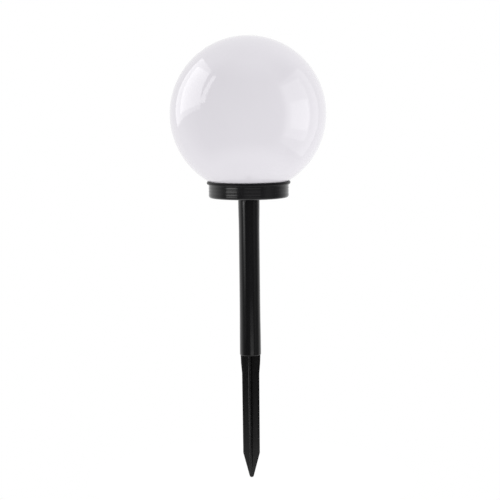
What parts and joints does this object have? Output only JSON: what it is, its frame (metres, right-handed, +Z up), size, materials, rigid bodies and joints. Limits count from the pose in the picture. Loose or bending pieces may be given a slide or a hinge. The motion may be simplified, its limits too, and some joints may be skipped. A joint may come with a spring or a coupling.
{
  "type": "garden globe light",
  "caption": "Solar garden light: opal ball screwed into a shallow black cup on a tube pole with a cross-bladed ground stake.",
  "frame": {"origin": "ground line on the axis: the centre of the pole's lower end, where it sits on the stake's shoulder", "axes": "+Z up along the pole to the ball, -Y towards the viewer of the picture, +X to the viewer's right"},
  "size_m": [0.15, 0.15, 0.4301],
  "materials": {
    "opal_plastic": "smooth opal white, glossy",
    "cup_black": "moulded satin black",
    "pole_black": "extruded glossy black",
    "stake_black": "moulded satin black",
    "seal_grey": "matt",
    "module_black": "moulded matt black",
    "board_white": "laminate with solder mask",
    "silicon": "dark blue crystalline",
    "tinned_ribbon": "tinned",
    "clear_resin": "clear",
    "lamp_clear": "clear",
    "tinned_wire": "tinned",
    "board_green": "laminate with solder mask",
    "chip_black": "moulded epoxy",
    "ferrite": "sintered",
    "copper": "enamelled wire",
    "cell_steel": "nickel plated",
    "sleeve_green": "shrink film",
    "contact_nickel": "nickel plated",
    "switch_black": "moulded",
    "knob_white": "moulded",
    "wire_red": "PVC insulation",
    "wire_black": "PVC insulation",
    "screw_steel": "zinc plated"
  },
  "bodies": {
    "stake": {"ground_stake": "stake_black"},
    "pole": {"pole_tube": "pole_black"},
    "head": {"base_cup": "cup_black", "module_plate": "module_black", "panel_board": "board_white", "solar_cells": "silicon", "cell_ribbons": "tinned_ribbon", "panel_resin": "clear_resin", "led_lamp": "lamp_clear", "led_leads": "tinned_wire", "circuit_board": "board_green", "driver_chip": "chip_black", "chip_pins": "tinned_wire", "choke_core": "ferrite", "choke_winding": "copper", "battery_cell": "cell_steel", "battery_sleeve": "sleeve_green", "positive_contact": "contact_nickel", "negative_contact": "contact_nickel", "battery_spring": "contact_nickel", "switch_housing": "switch_black", "switch_pins": "tinned_wire", "panel_wire_red": "wire_red", "panel_wire_black": "wire_black", "battery_wire_red": "wire_red", "battery_wire_black": "wire_black", "housing_screws": "screw_steel", "board_screws": "screw_steel"},
    "seal": {"globe_seal": "seal_grey"},
    "globe": {"globe": "opal_plastic"},
    "switch_lever": {"switch_knob": "knob_white"}
  },
  "joints": [
    {"name": "pole_pull", "type": "slide", "parent": "stake", "child": "pole", "axis": [0, 0, 1], "range_m": [0, 0.03]},
    {"name": "head_pull", "type": "slide", "parent": "pole", "child": "head", "axis": [0, 0, 1], "range_m": [0, 0.032]},
    {"name": "globe_rise", "type": "slide", "parent": "head", "child": "seal", "axis": [0, 0, 1], "range_m": [0, 0.0036]},
    {"name": "globe_twist", "type": "hinge", "parent": "seal", "child": "globe", "pos_m": [0, 0, 0.16], "axis": [0, 0, 1], "range_deg": [0, 70]},
    {"name": "switch_slide", "type": "slide", "parent": "head", "child": "switch_lever", "axis": [1, 0, 0], "range_m": [0, 0.002]}
  ],
  "couplings": [
    {"joint": "globe_rise", "follows": "globe_twist", "m_per_rad": 0.0028648}
  ]
}
